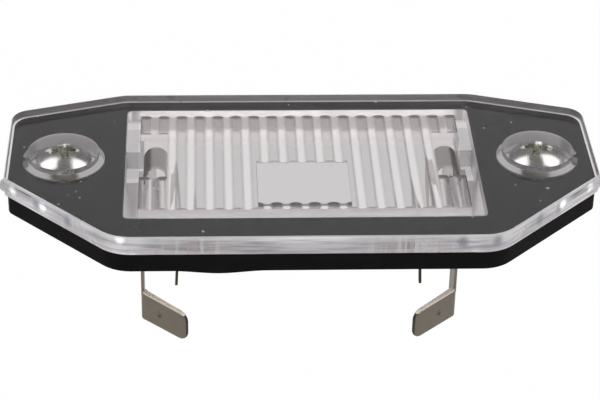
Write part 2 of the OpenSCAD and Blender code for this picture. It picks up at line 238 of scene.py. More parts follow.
class LampGasketSettings(bpy.types.PropertyGroup):
    rubber: colour_setting("Rubber", "Colour of the gasket", (0.0028, 0.0028, 0.0030))
    edge: length_setting("Edge", "Rounding of the gasket's rim", 0.0001, 0.0006, 0.00028)
    sag: length_setting("Sag", "How far the soft front edge hangs below the sheet", 0, 0.001, 0.00042)
    clearance: length_setting(
        "Clearance", "Air left between the sheet and the plate above it", 0.00001, 0.0002, 0.00005
    )


class LampContactSettings(bpy.types.PropertyGroup):
    nickel: colour_setting("Nickel", "Colour of the plated strip", (0.182, 0.157, 0.128))
    edge: length_setting("Edge", "Rounding of the strip's cut edges", 0, 0.0002, 0.00007)


class LampScrewSettings(bpy.types.PropertyGroup):
    zinc: colour_setting("Zinc", "Colour of the plated screws", (0.72, 0.715, 0.69))
    pitch: length_setting("Pitch", "Pitch of the screw thread", 0.001, 0.002, 0.0014)
    thread_depth: length_setting("Thread Depth", "Depth of the screw thread", 0.0003, 0.0008, 0.00055)
    edge: length_setting("Edge", "Rounding of the screws' sharp edges", 0, 0.0002, 0.00005)


class LampStageSettings(bpy.types.PropertyGroup):
    floor: colour_setting("Floor", "Colour of the floor and of the background", (0.9, 0.9, 0.9))
    floor_drop: length_setting(
        "Floor Drop", "Distance from the lamp's lowest point down to the floor", 0, 0.2, 0.05
    )
    surroundings: number_setting("Surroundings", "Level of the studio round the lamp", 0, 1, 0.62)
    sheen: number_setting("Sheen", "Level of the studio as shiny faces mirror it", 0, 1, 0.215)
    elevation: angle_setting("Elevation", "Height of the camera above the plate's plane", 0.56723)
    yaw: angle_setting("Yaw", "Turn of the camera round the lamp", -0.05331)
    roll: angle_setting("Roll", "Tilt of the camera about its own line of sight", 0.02194)
    distance: length_setting(
        "Distance", "Distance of the camera from the point that it looks at", 0.05, 5, 0.30047
    )
    aim: bpy.props.FloatVectorProperty(
        name="Aim",
        description="Point that the camera looks at",
        subtype="XYZ",
        size=3,
        default=(-0.00078, -0.0133, 0.0058),
    )
    focal_length: number_setting(
        "Focal Length", "Focal length of the camera on a 36 mm sensor, in millimetres", 10, 500, 130.56
    )


# Small helpers for node trees


def node(tree, kind, **settings):
    """Adds a node and sets its plain settings."""
    made = tree.nodes.new(kind)
    for name, value in settings.items():
        setattr(made, name, value)
    return made


def link(tree, source, target):
    """Joins an output socket to an input socket, or sets the input to a plain value."""
    if hasattr(source, "is_output"):
        tree.links.new(source, target)
    else:
        target.default_value = source


def maths(tree, operation, first, second=0.0, clamp=False):
    """A Math node on two values or sockets."""
    made = node(tree, "ShaderNodeMath", operation=operation, use_clamp=clamp)
    link(tree, first, made.inputs[0])
    link(tree, second, made.inputs[1])
    return made.outputs[0]


def product(tree, first, second):
    """The product of two values or sockets."""
    return maths(tree, "MULTIPLY", first, second)


def rest_of(tree, mask):
    """1 less a mask."""
    return maths(tree, "SUBTRACT", 1.0, mask)


def vector_maths(tree, operation, first, second=None):
    """A Vector Math node on one or two vectors or sockets, which gives a number for a length or distance."""
    made = node(tree, "ShaderNodeVectorMath", operation=operation)
    link(tree, first, made.inputs[0])
    if second is not None:
        link(tree, second, made.inputs[1])
    return made.outputs["Value" if operation in ("LENGTH", "DISTANCE") else "Vector"]


def along_axes(tree, vector):
    """The X, Y and Z of a vector."""
    made = node(tree, "ShaderNodeSeparateXYZ")
    link(tree, vector, made.inputs[0])
    return made.outputs["X"], made.outputs["Y"], made.outputs["Z"]


def ranged(tree, value, low, high, to_low=0.0, to_high=1.0):
    """A clamped Map Range node."""
    made = node(tree, "ShaderNodeMapRange", clamp=True)
    link(tree, value, made.inputs["Value"])
    made.inputs["From Min"].default_value = low
    made.inputs["From Max"].default_value = high
    made.inputs["To Min"].default_value = to_low
    made.inputs["To Max"].default_value = to_high
    return made.outputs["Result"]


def toned(colour, share=1.0):
    """A plain colour at a share of its level, as a colour socket takes it."""
    return (*(share * part for part in colour), 1)


def mixed(tree, factor, first, second):
    """A colour mix of two colours or sockets."""
    made = node(tree, "ShaderNodeMix", data_type="RGBA")
    link(tree, factor, made.inputs[0])
    link(tree, first, made.inputs[6])
    link(tree, second, made.inputs[7])
    return made.outputs[2]


def layered(tree, base, *layers):
    """Colours laid over a base in turn, each with its mask and its share."""
    for mask, share, colour in layers:
        base = mixed(tree, product(tree, mask, share), base, colour)
    return base


def placed(tree, coordinates, scale=(1, 1, 1), turn=(0, 0, 0)):
    """A Mapping node on a set of coordinates."""
    made = node(tree, "ShaderNodeMapping")
    link(tree, coordinates, made.inputs["Vector"])
    made.inputs["Scale"].default_value = scale
    made.inputs["Rotation"].default_value = turn
    return made.outputs["Vector"]


def noise(tree, coordinates, scale, detail=2.0, roughness=0.5):
    """The height of a Noise Texture."""
    made = node(tree, "ShaderNodeTexNoise")
    link(tree, coordinates, made.inputs["Vector"])
    link(tree, scale, made.inputs["Scale"])
    made.inputs["Detail"].default_value = detail
    made.inputs["Roughness"].default_value = roughness
    return made.outputs[0]


def bumped(tree, height, distance, strength=1.0, normal=None):
    """A Bump node over a height."""
    made = node(tree, "ShaderNodeBump")
    link(tree, height, made.inputs["Height"])
    link(tree, distance, made.inputs["Distance"])
    made.inputs["Strength"].default_value = strength
    if normal is not None:
        link(tree, normal, made.inputs["Normal"])
    return made.outputs[0]


def new_material(name):
    """A material with one Principled shader, its object coordinates and its settings ready to join."""
    material = bpy.data.materials.new(name)
    material.use_nodes = True
    tree = material.node_tree
    tree.nodes.clear()
    shader = node(tree, "ShaderNodeBsdfPrincipled")
    end = node(tree, "ShaderNodeOutputMaterial")
    tree.links.new(shader.outputs[0], end.inputs[0])
    place = node(tree, "ShaderNodeTexCoord")
    return material, tree, shader, place


def add_painted_glow(tree, shader, colour):
    """Adds a faint painted glow of its own, which stands in for light that the plastic or plate gathers and
    for painted glints.
    """
    link(tree, colour, shader.inputs["Emission Color"])
    shader.inputs["Emission Strength"].default_value = 1.0


# Surface effects that several materials share, each a node group that gives a mask


def mask_group(name, inputs):
    """An empty node group with named inputs, each with its type and default, and a mask as its output."""
    group = bpy.data.node_groups.new(name, "ShaderNodeTree")
    for label, kind, default in inputs:
        socket = group.interface.new_socket(name=label, in_out="INPUT", socket_type=kind)
        if default is not None:
            socket.default_value = default
    group.interface.new_socket(name="Mask", in_out="OUTPUT", socket_type="NodeSocketFloat")
    start = node(group, "NodeGroupInput")
    end = node(group, "NodeGroupOutput")
    return group, start.outputs, end.inputs["Mask"]


def use_group(tree, group, **values):
    """Places a node group in a material, sets its inputs by name and gives its mask."""
    made = node(tree, "ShaderNodeGroup", node_tree=group)
    for label, value in values.items():
        link(tree, value, made.inputs[label])
    return made.outputs["Mask"]


def specks_group(name):
    """Small round specks of dust, each a little different in size."""
    group, given, mask = mask_group(
        name,
        [
            ("Coordinates", "NodeSocketVector", None),
            ("Spacing", "NodeSocketFloat", 400.0),
            ("Share", "NodeSocketFloat", 0.12),
        ],
    )
    cells = node(group, "ShaderNodeTexVoronoi", feature="F1")
    link(group, given["Coordinates"], cells.inputs["Vector"])
    link(group, given["Spacing"], cells.inputs["Scale"])
    chance = node(group, "ShaderNodeSeparateColor")
    link(group, cells.outputs["Color"], chance.inputs[0])
    picked = maths(group, "LESS_THAN", chance.outputs[0], given["Share"])
    radius = ranged(group, chance.outputs[1], 0.0, 1.0, to_low=0.07, to_high=0.17)
    near = maths(group, "LESS_THAN", cells.outputs["Distance"], radius)
    link(group, product(group, picked, near), mask)
    return group


def scratches_group(name):
    """Long thin scratches that run one way, broken into short lengths."""
    group, given, mask = mask_group(
        name,
        [
            ("Coordinates", "NodeSocketVector", None),
            ("Density", "NodeSocketFloat", 900.0),
            ("Share", "NodeSocketFloat", 0.3),
        ],
    )
    where = given["Coordinates"]
    stretched = placed(group, where, scale=(1.0, 0.035, 1.0), turn=(0, 0, 0.5))
    fine = noise(group, stretched, given["Density"], detail=1.0)
    off_middle = maths(group, "ABSOLUTE", maths(group, "SUBTRACT", fine, 0.5))
    line = ranged(group, off_middle, 0.0, 0.012, to_low=1.0, to_high=0.0)
    broad = noise(group, where, scale=120.0, detail=1.0)
    limit = product(group, rest_of(group, given["Share"]), 0.8)
    link(group, product(group, line, maths(group, "GREATER_THAN", broad, limit)), mask)
    return group


def wear_group(name):
    """Edges and high spots rubbed bright, in patches."""
    group, given, mask = mask_group(
        name,
        [
            ("Coordinates", "NodeSocketVector", None),
            ("Scale", "NodeSocketFloat", 700.0),
            ("Amount", "NodeSocketFloat", 0.5),
        ],
    )
    shape = node(group, "ShaderNodeNewGeometry")
    raised = ranged(group, shape.outputs["Pointiness"], 0.505, 0.56)
    patchy = ranged(group, noise(group, given["Coordinates"], given["Scale"], detail=4.0), 0.35, 0.65)
    both = maths(group, "MULTIPLY", raised, maths(group, "ADD", patchy, 0.35), clamp=True)
    link(group, product(group, both, given["Amount"]), mask)
    return group


def spot_group(name):
    """A soft round or drawn-out spot about a point."""
    group, given, mask = mask_group(
        name,
        [
            ("Coordinates", "NodeSocketVector", None),
            ("Centre", "NodeSocketVector", None),
            ("Reach", "NodeSocketVector", (0.001, 0.001, 0.001)),
        ],
    )
    away = vector_maths(group, "SUBTRACT", given["Coordinates"], given["Centre"])
    share = vector_maths(group, "LENGTH", vector_maths(group, "DIVIDE", away, given["Reach"]))
    link(group, ranged(group, share, 0.35, 1.0, to_low=1.0, to_high=0.0), mask)
    return group


EFFECTS = {
    "Dust Specks": specks_group,
    "Fine Scratches": scratches_group,
    "Edge Wear": wear_group,
    "Soft Spot": spot_group,
}


def effect(name):
    """The node group of a shared effect, built on its first use."""
    return bpy.data.node_groups.get(name) or EFFECTS[name](name)


def spots(tree, where, middles, reach):
    """The union of soft spots at several points, with points and reach in millimetres."""
    mask = 0.0
    wide = tuple(part * MM for part in reach)
    for middle in middles:
        centre = tuple(part * MM for part in middle)
        one = use_group(tree, effect("Soft Spot"), Coordinates=where, Centre=centre, Reach=wide)
        mask = maths(tree, "MAXIMUM", mask, one)
    return mask


# Materials


def clear_plastic(settings):
    """Clear moulded plastic with a faint ripple and a little dust; painted shade lets less light through its
    pad, its side patches and most of all its flutes, so its flutes are darker than its ribs.
    """
    material, tree, shader, place = new_material("clear_plastic")
    where = place.outputs["Object"]
    slope_kept = (0.25, 0.25, 1)
    eased = vector_maths(tree, "MULTIPLY", place.outputs["Normal"], slope_kept)
    level = vector_maths(tree, "NORMALIZE", eased)
    ripple = noise(tree, where, scale=170.0, detail=1.0)
    link(tree, bumped(tree, ripple, settings.ripple, normal=level), shader.inputs["Normal"])
    dust = use_group(tree, effect("Dust Specks"), Coordinates=where, Spacing=520.0, Share=0.05)
    upward = maths(tree, "ABSOLUTE", along_axes(tree, place.outputs["Normal"])[2])
    sloped = ranged(tree, upward, 0.75, 0.995, to_low=0.24, to_high=0.0)
    dusty = ranged(tree, dust, 0.0, 1.0, to_low=0.02, to_high=0.3)
    link(tree, maths(tree, "ADD", dusty, sloped), shader.inputs["Roughness"])
    x, _, z = along_axes(tree, where)
    outward = maths(tree, "ABSOLUTE", x)
    beyond = maths(tree, "GREATER_THAN", outward, PATCH_X)
    patch = product(tree, beyond, maths(tree, "LESS_THAN", outward, RING_X))
    patch = product(tree, patch, maths(tree, "LESS_THAN", z, PATCH_TOP))
    plain = maths(tree, "MAXIMUM", maths(tree, "LESS_THAN", z, PAD_TOP), patch)
    groove = product(tree, ranged(tree, z, *GROOVE_RISE), maths(tree, "LESS_THAN", z, GROOVE_TOP))
    # Painted shade: the tint at 0.68 on the pad and the side patches and at 0.56 in the flutes' grooves
    base = mixed(tree, plain, toned(settings.tint), toned(settings.tint, 0.68))
    base = mixed(tree, groove, base, toned(settings.tint, 0.56))
    link(tree, base, shader.inputs["Base Color"])
    shader.inputs["Transmission Weight"].default_value = 1.0
    shader.inputs["IOR"].default_value = settings.refraction
    return material


def hazy_plastic(settings):
    """The same plastic on its upright faces, frosted by the mould and drawn in fine lines, with painted
    light and shade by zone and a faint painted glow.
    """
    material, tree, shader, place = new_material("hazy_plastic")
    where = place.outputs["Object"]
    lines = noise(tree, placed(tree, where, scale=(0.02, 0.02, 1)), scale=5200.0)
    cloud = ranged(tree, noise(tree, where, scale=240.0, detail=3.0), 0.35, 0.65)
    drawn = ranged(tree, lines, 0.3, 0.7, to_low=0.75)
    tone = product(tree, drawn, ranged(tree, cloud, 0.0, 1.0, to_low=0.85))
    x, y, z = along_axes(tree, where)
    outward = maths(tree, "ABSOLUTE", x)
    boss = ranged(tree, outward, *BOSS_START)
    side = ranged(tree, outward, *WALL_SIDE)
    back = ranged(tree, y, *WALL_BACK)
    outside = ranged(tree, y, *WALL_OUTSIDE)
    lip = ranged(tree, z, *WALL_LIP)
    above = ranged(tree, z, *PLATE_START, to_high=0.75)
    seat = ranged(tree, maths(tree, "ABSOLUTE", y), *SEAT_EDGE, to_low=1.0, to_high=0.0)
    # Painted shade on the bosses, the side walls, the outside of the back wall and, nearly black, the
    # upright faces above the plate; a painted highlight along the lip and painted light on the back wall
    base = layered(
        tree,
        mixed(tree, tone, toned(settings.haze, 0.55), toned(settings.haze)),
        (boss, 0.75, (0.42, 0.41, 0.43, 1)),
        (lip, 1.0, (0.8, 0.78, 0.82, 1)),
        (side, 0.4, (0.5, 0.49, 0.52, 1)),
        (back, 1.0, (1.0, 0.97, 0.97, 1)),
        (outside, 1.0, (0.70, 0.665, 0.67, 1)),
        (product(tree, above, rest_of(tree, boss)), 1.0, (0.09, 0.08, 0.08, 1)),
    )
    link(tree, base, shader.inputs["Base Color"])
    # Painted glow, strongest on the back wall, faint on the other walls, a little on the side walls by the
    # seat and none on the bosses or above the plate
    painted_glow = layered(
        tree,
        (0.06, 0.056, 0.057, 1),
        (back, 1.0, (0.36, 0.34, 0.345, 1)),
        (outside, 1.0, (0.05, 0.046, 0.047, 1)),
        (side, 1.0, mixed(tree, seat, BLACK, (0.09, 0.086, 0.09, 1))),
        (maths(tree, "MAXIMUM", boss, above), 1.0, BLACK),
    )
    add_painted_glow(tree, shader, painted_glow)
    link(tree, ranged(tree, cloud, 0.0, 1.0, to_low=0.30, to_high=0.42), shader.inputs["Roughness"])
    link(tree, bumped(tree, lines, 0.01 * MM, strength=0.6), shader.inputs["Normal"])
    shader.inputs["Transmission Weight"].default_value = 0.8
    shader.inputs["IOR"].default_value = settings.refraction
    return material


def rim_plastic(settings):
    """The plate's rim, drawn in lines along the edge, with painted glints, painted dark patches, dark slits,
    painted upright streaks of light and shade, painted light along its foot and crown and painted shade on
    its far side.
    """
    material, tree, shader, place = new_material("rim_plastic")
    where = place.outputs["Object"]
    y, z = along_axes(tree, where)[1:]
    lines = noise(tree, placed(tree, where, scale=(0.05, 0.05, 1)), scale=3300.0, detail=3.0)
    cloud = ranged(tree, noise(tree, where, scale=180.0, detail=3.0), 0.35, 0.65)
    drawn = ranged(tree, lines, 0.38, 0.56)
    base = layered(
        tree,
        mixed(tree, drawn, toned(settings.rim, 0.5), toned(settings.rim)),
        (cloud, 0.15, (0.6, 0.58, 0.62, 1)),
        # Painted light along the foot and the crown of the rim, painted shade on its far side
        (ranged(tree, z, *RIM_FOOT, to_low=1.0, to_high=0.0), 0.55, (0.98, 0.86, 0.86, 1)),
        (ranged(tree, z, *RIM_CROWN), 0.8, (1.0, 0.99, 1.0, 1)),
        (ranged(tree, y, *RIM_FAR), 0.85, (0.30, 0.27, 0.26, 1)),
    )
    upright = noise(tree, placed(tree, where, scale=(1, 1, 0.03)), scale=1500.0)
    pale = ranged(tree, upright, 0.52, 0.6)
    rosy = ranged(tree, upright, 0.48, 0.40)
    # Painted streaks of light and shade on the front rim
    for middle, half in RIM_STREAKS:
        centre = (middle * MM, LENS_LOW.y, PLATE_Z)
        reach = (half * MM, 3 * MM, 4 * MM)
        zone = use_group(tree, effect("Soft Spot"), Coordinates=where, Centre=centre, Reach=reach)
        base = layered(
            tree,
            base,
            (product(tree, pale, zone), 0.8, (1.0, 0.97, 0.94, 1)),
            (product(tree, rosy, zone), 0.6, (0.78, 0.63, 0.64, 1)),
        )
    # Painted glints with a painted glow, and painted shade in patches beside them
    glints = spots(tree, where, RIM_GLINTS, (0.9, 0.9, 0.95))
    glints = product(tree, glints, ranged(tree, lines, 0.40, 0.52, to_low=0.25))
    base = layered(
        tree,
        base,
        (spots(tree, where, RIM_PATCHES, (1.0, 1.0, 1.2)), 0.75, (0.26, 0.26, 0.34, 1)),
        (spots(tree, where, RIM_SLITS, (2.3, 2.3, 0.2)), 0.9, (0.06, 0.05, 0.05, 1)),
        (glints, 1.0, (1.0, 1.0, 1.0, 1)),
    )
    link(tree, base, shader.inputs["Base Color"])
    add_painted_glow(tree, shader, mixed(tree, glints, BLACK, (0.45, 0.45, 0.48, 1)))
    link(tree, ranged(tree, cloud, 0.0, 1.0, to_low=0.26, to_high=0.40), shader.inputs["Roughness"])
    link(tree, bumped(tree, lines, 0.02 * MM, strength=0.6), shader.inputs["Normal"])
    shader.inputs["Transmission Weight"].default_value = 0.55
    shader.inputs["IOR"].default_value = settings.refraction
    return material


def gasket_rubber(settings):
    """Matt black rubber with a fine grain and pale dust on its top face, thicker in a few places."""
    material, tree, shader, place = new_material("gasket_rubber")
    where = place.outputs["Object"]
    tone = ranged(tree, noise(tree, where, scale=260.0, detail=5.0, roughness=0.6), 0.3, 0.7)
    base = mixed(tree, tone, toned(settings.rubber, 0.7), toned(settings.rubber, 1.5))
    top = maths(tree, "GREATER_THAN", along_axes(tree, place.outputs["Normal"])[2], 0.9)
    dust = use_group(tree, effect("Dust Specks"), Coordinates=where, Spacing=700.0, Share=0.14)
    crowd = use_group(tree, effect("Dust Specks"), Coordinates=where, Spacing=1050.0, Share=0.6)
    crowd = product(tree, crowd, spots(tree, where, DUST_HEAPS, (1.5, 2.2, 2.0)))
    dust = product(tree, maths(tree, "MAXIMUM", dust, crowd), top)
    base = mixed(tree, dust, base, (0.62, 0.62, 0.62, 1))
    link(tree, base, shader.inputs["Base Color"])
    grain = noise(tree, where, scale=5200.0, detail=3.0, roughness=0.6)
    link(tree, ranged(tree, grain, 0.3, 0.7, to_low=0.5, to_high=0.72), shader.inputs["Roughness"])
    link(tree, bumped(tree, grain, 0.01 * MM, strength=0.5), shader.inputs["Normal"])
    shader.inputs["Specular IOR Level"].default_value = 0.06
    return material


def contact_strip(settings):
    """Dull nickel plate on spring strip, with a painted highlight along the blade's fold, painted shade on
    the blade's end faces, and painted shade on the low spring leg that turns to painted light higher up.
    """
    material, tree, shader, place = new_material("contact_strip")
    where = place.outputs["Object"]
    x, y, z = along_axes(tree, where)
    facing_x, facing_y, facing_z = along_axes(tree, place.outputs["Normal"])
    cloud = ranged(tree, noise(tree, where, scale=330.0, detail=4.0, roughness=0.6), 0.3, 0.7)
    behind = ranged(tree, y, *SPRING_BACK)
    before = rest_of(tree, behind)
    inward = ranged(tree, maths(tree, "ABSOLUTE", x), *SPRING_SIDE, to_low=1.0, to_high=0.0)
    leg = product(tree, behind, inward)
    high = ranged(tree, z, *SPRING_PALE)
    # Painted shade on the low spring leg, turning to painted light higher up
    leg_shade_and_light = mixed(tree, high, (0.055, 0.05, 0.035, 1), (1.0, 0.97, 0.95, 1))
    # Painted highlight along the top of the blade's fold and on its crest
    crest_half = 0.4 * MM
    off_crest = maths(tree, "ABSOLUTE", maths(tree, "SUBTRACT", z, BLADE_TOP))
    crest = product(tree, maths(tree, "LESS_THAN", off_crest, crest_half), ranged(tree, facing_z, 0.3, 0.6))
    folded = maths(tree, "MAXIMUM", product(tree, ranged(tree, z, *FOLD_TOP), before), crest)
    # The way that the blade's end faces, towards the middle and the front
    end_in, end_front = 0.72, -0.69
    to_middle = maths(tree, "SIGN", product(tree, x, -1.0))
    across = product(tree, product(tree, facing_x, to_middle), end_in)
    # Painted shade on the blade's end faces
    tip = maths(tree, "ADD", across, product(tree, facing_y, end_front))
    tip = product(tree, ranged(tree, tip, 0.7, 0.9), before)
    base = layered(
        tree,
        mixed(tree, cloud, toned(settings.nickel, 0.96), toned(settings.nickel, 1.03)),
        (leg, 0.8, leg_shade_and_light),
        (folded, 1.0, (0.86, 0.77, 0.66, 1)),
        (tip, 0.85, (0.035, 0.03, 0.024, 1)),
    )
    link(tree, base, shader.inputs["Base Color"])
    # Less metallic where the painted highlight and painted light lie, so that they show pale
    painted_pale = maths(tree, "MAXIMUM", folded, product(tree, product(tree, leg, high), 0.9))
    link(tree, ranged(tree, painted_pale, 0.0, 1.0, to_low=1.0, to_high=0.2), shader.inputs["Metallic"])
    rolled = noise(tree, placed(tree, where, scale=(1, 1, 0.06)), scale=2600.0)
    link(tree, ranged(tree, rolled, 0.0, 1.0, to_low=0.46, to_high=0.5), shader.inputs["Roughness"])
    return material


def recess_mask(tree, where):
    """1 on the faces of a screw's recess, which lie inside the dome of its head."""
    apart = vector_maths(tree, "ABSOLUTE", where)
    dome = vector_maths(tree, "DISTANCE", apart, (SCREW_X, 0, HEAD_TOP - HEAD_DOME_R))
    ring = vector_maths(tree, "DISTANCE", placed(tree, apart, scale=(1, 1, 0)), (SCREW_X, 0, 0))
    inside = ranged(tree, dome, *RECESS_DEPTH, to_low=1.0, to_high=0.0)
    return product(tree, inside, ranged(tree, ring, *RECESS_REACH, to_low=1.0, to_high=0.0))


def screw_steel(settings):
    """Bright zinc plate with rubbed edges, painted shade in its hollows and in its grainy recess, and
    painted glints along the recess's upper edges.
    """
    material, tree, shader, place = new_material("screw_steel")
    where = place.outputs["Object"]
    cloud = ranged(tree, noise(tree, where, scale=420.0, detail=4.0, roughness=0.6), 0.3, 0.7)
    shape = node(tree, "ShaderNodeNewGeometry")
    # Painted shade in the hollows
    hollow_shade = ranged(tree, shape.outputs["Pointiness"], 0.44, 0.495, to_low=1.0, to_high=0.0)
    edge = use_group(tree, effect("Edge Wear"), Coordinates=where, Scale=1100.0, Amount=0.5)
    recess = recess_mask(tree, where)
    recess_grain = ranged(tree, noise(tree, where, scale=2600.0, detail=3.0, roughness=0.6), 0.35, 0.65)
    base = layered(
        tree,
        mixed(tree, cloud, toned(settings.zinc, 0.86), toned(settings.zinc)),
        (hollow_shade, 0.55, (0.16, 0.15, 0.12, 1)),
        (edge, 1.0, (0.9, 0.9, 0.88, 1)),
        # Painted shade in the recess, broken up by a grainy noise
        (recess, 1.0, mixed(tree, recess_grain, (0.20, 0.19, 0.13, 1), (0.85, 0.83, 0.72, 1))),
    )
    link(tree, base, shader.inputs["Base Color"])
    # Painted glints with a painted glow along the recess's upper edges
    glints = spots(tree, where, RECESS_GLINTS, (0.6, 0.55, 0.6))
    glints = product(tree, glints, ranged(tree, recess_grain, 0.2, 0.8, to_low=0.3))
    add_painted_glow(tree, shader, mixed(tree, glints, BLACK, (0.78, 0.78, 0.74, 1)))
    shader.inputs["Metallic"].default_value = 1.0
    line = use_group(tree, effect("Fine Scratches"), Coordinates=where, Density=1700.0, Share=0.5)
    rough = ranged(tree, cloud, 0.0, 1.0, to_low=0.16, to_high=0.27)
    for mask, added in ((line, 0.15), (recess, 0.4)):
        rough = maths(tree, "ADD", rough, product(tree, mask, added))
    link(tree, rough, shader.inputs["Roughness"])
    dents = noise(tree, where, scale=1600.0, detail=3.0)
    link(tree, bumped(tree, dents, 0.02 * MM, strength=0.4), shader.inputs["Normal"])
    return material


# Meshes


def merged_copy(name):
    """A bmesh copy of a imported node, with its loose triangles joined into whole faces."""
    bm = bmesh.new()
    bm.from_mesh(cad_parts[name].data)
    bmesh.ops.remove_doubles(bm, verts=bm.verts, dist=WELD)
    bmesh.ops.dissolve_limit(bm, angle_limit=math.radians(0.6), verts=bm.verts, edges=bm.edges)
    return bm


def whole(bm):
    """All the vertices, edges and faces of a bmesh."""
    return bm.verts[:] + bm.edges[:] + bm.faces[:]


def finished(bm, name, material, sharp):
    """Turns a bmesh into a piece that rides on the lamp, smooth but for edges over an angle in degrees."""
    for face in bm.faces:
        face.smooth = True
    for edge in bm.edges:
        edge.smooth = len(edge.link_faces) == 2 and edge.calc_face_angle(math.pi) < math.radians(sharp)
    mesh = bpy.data.meshes.new(name)
    bm.to_mesh(mesh)
    bm.free()
    piece = bpy.data.objects.new(name, mesh)
    bpy.context.scene.collection.objects.link(piece)
    mesh.materials.append(material)
    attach(piece, BODY)
    return piece


def keep_flat(piece):
    """Normals that keep the large flat faces flat."""
    level = piece.modifiers.new("normals", "WEIGHTED_NORMAL")
    level.keep_sharp = True


def round_edges(piece, width, angle):
    """A Bevel modifier on the edges over an angle in degrees, and normals that keep the flat faces flat."""
    bevel = piece.modifiers.new("edges", "BEVEL")
    bevel.width = width
    bevel.segments = 2
    bevel.limit_method = "ANGLE"
    bevel.angle_limit = math.radians(angle)
    keep_flat(piece)


def bevel_edges(bm, kept, radius, segments, clamp_overlap):
    """Rounds the edges of a bmesh that turn by over 60 degrees and pass a test."""
    edges = [
        edge
        for edge in bm.edges
        if len(edge.link_faces) == 2 and edge.calc_face_angle() > math.radians(60) and kept(edge)
    ]
    bmesh.ops.bevel(
        bm,
        geom=edges,
        offset=radius,
        offset_type="OFFSET",
        segments=segments,
        profile=0.5,
        affect="EDGES",
        clamp_overlap=clamp_overlap,
        material=-1,
    )


def smooth_step(value):
    """0 to 1 with a soft start and end."""
    value = min(1.0, max(0.0, value))
    return value * value * (3 - 2 * value)


def lens_mesh():
    """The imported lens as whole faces, its upright ones in the second slot and its rim in the third."""
    bm = merged_copy("lens")
    for face in bm.faces:
        middle = face.calc_center_median()
        upward = abs(face.normal.z)
        cup = math.hypot(abs(middle.x) - SCREW_X, middle.y) < CUP_R and middle.z > PLATE_Z
        out = abs(middle.x) > RING_X or middle.y > RING_BACK or middle.y < RING_FRONT
        if middle.z < WALL_TOP or upward < 0.3:
            face.material_index = 1
        if middle.z > PLATE_Z and out and not cup and (upward < 0.97 or abs(middle.x) > LUG_X):
            face.material_index = 2
    return bm


def level_edge(edge):
    """Whether an edge lies level."""
    return abs(edge.verts[0].co.z - edge.verts[1].co.z) < 0.01 * MM


def blade_edge(edge):
    """Whether an edge belongs to a contact's blade."""
    return min(vert.co.y for vert in edge.verts) < BLADE_BACK - 0.6 * MM


def gasket_mesh(settings):
    """The gasket sheet with a rolled rim, lowered off the plate and sagging along its front."""
    bm = merged_copy("gasket")
    bevel_edges(bm, level_edge, settings.edge, 3, True)
    line_y = SAG_LINE_Y * MM
    bmesh.ops.bisect_plane(bm, geom=whole(bm), plane_co=(0, line_y, 0), plane_no=(0, 1, 0))
    for x in SAG_CUTS_X:
        faces = [face for face in bm.faces if face.calc_center_median().y < line_y]
        parts = {part for face in faces for part in (*face.verts, *face.edges)}
        bmesh.ops.bisect_plane(bm, geom=[*parts, *faces], plane_co=(x * MM, 0, 0), plane_no=(1, 0, 0))
    for vert in bm.verts:
        share = vert.co.z / PLATE_Z
        along = smooth_step(1 - abs(vert.co.x / MM - SAG_MIDDLE_X) / SAG_HALF_L)
        front = smooth_step((-vert.co.y / MM - SAG_START_Y) / SAG_RUN)
        if abs(vert.co.x) > WINDOW_X or vert.co.y > WINDOW_BACK:
            vert.co.y += REACH_OUT * MM * smooth_step((vert.co.y / MM - REACH_START_Y) / REACH_RUN)
        vert.co.z -= settings.sag * along * front * (1 - share)
        vert.co.z -= settings.clearance * share
    return bm


def contact_mesh(name):
    """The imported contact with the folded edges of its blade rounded."""
    bm = merged_copy(name)
    bevel_edges(bm, blade_edge, FOLD_R, 4, False)
    return bm


def thread_ridge(core, crest, pitch, start, end):
    """A helical ridge with its ends run out into the core."""
    bm = bmesh.new()
    root = core - 0.1 * MM
    foot_half = 0.36 * pitch
    crest_half = 0.03 * MM
    steps_per_turn = 30
    first_run = 0.9 * pitch
    last_run = 1.4 * pitch
    corners = [
        bm.verts.new((root, 0, start + foot_half)),
        bm.verts.new((root, 0, start - foot_half)),
        bm.verts.new((crest, 0, start - crest_half)),
        bm.verts.new((crest, 0, start + crest_half)),
    ]
    ring = [bm.edges.new((corners[i], corners[(i + 1) % 4])) for i in range(4)]
    turns = (start - end) / pitch
    steps = int(round(turns * steps_per_turn))
    bmesh.ops.spin(
        bm,
        geom=corners + ring,
        cent=(0, 0, 0),
        axis=(0, 0, 1),
        dvec=(0, 0, (end - start) / steps),
        angle=turns * 2 * math.pi,
        steps=steps,
        use_merge=False,
        use_duplicate=False,
    )
    bmesh.ops.holes_fill(bm, edges=bm.edges, sides=4)
    for vert in bm.verts:
        radius = math.hypot(vert.co.x, vert.co.y)
        first = (start + foot_half - vert.co.z) / first_run
        last = (vert.co.z - end + foot_half) / last_run
        wanted = root + (radius - root) * max(0.0, min(1.0, first, last))
        vert.co.x *= wanted / radius
        vert.co.y *= wanted / radius
    bmesh.ops.recalc_face_normals(bm, faces=bm.faces)
    return bm


def shank(core, neck, top, shoulder, point, tip):
    """The screw below its head: a plain neck, the core of the thread and the point."""
    bm = bmesh.new()
    line = [
        bm.verts.new((0, 0, top)),
        bm.verts.new((neck, 0, top)),
        bm.verts.new((neck, 0, shoulder + 0.3 * MM)),
        bm.verts.new((core, 0, shoulder)),
        bm.verts.new((core, 0, point)),
        bm.verts.new((0.35 * core, 0, tip + 0.5 * MM)),
        bm.verts.new((0, 0, tip)),
    ]
    path = [bm.edges.new((line[i], line[i + 1])) for i in range(len(line) - 1)]
    bmesh.ops.spin(
        bm,
        geom=line + path,
        cent=(0, 0, 0),
        axis=(0, 0, 1),
        angle=2 * math.pi,
        steps=48,
        use_merge=True,
        use_duplicate=False,
    )
    bmesh.ops.remove_doubles(bm, verts=bm.verts, dist=WELD)
    bmesh.ops.recalc_face_normals(bm, faces=bm.faces)
    return bm


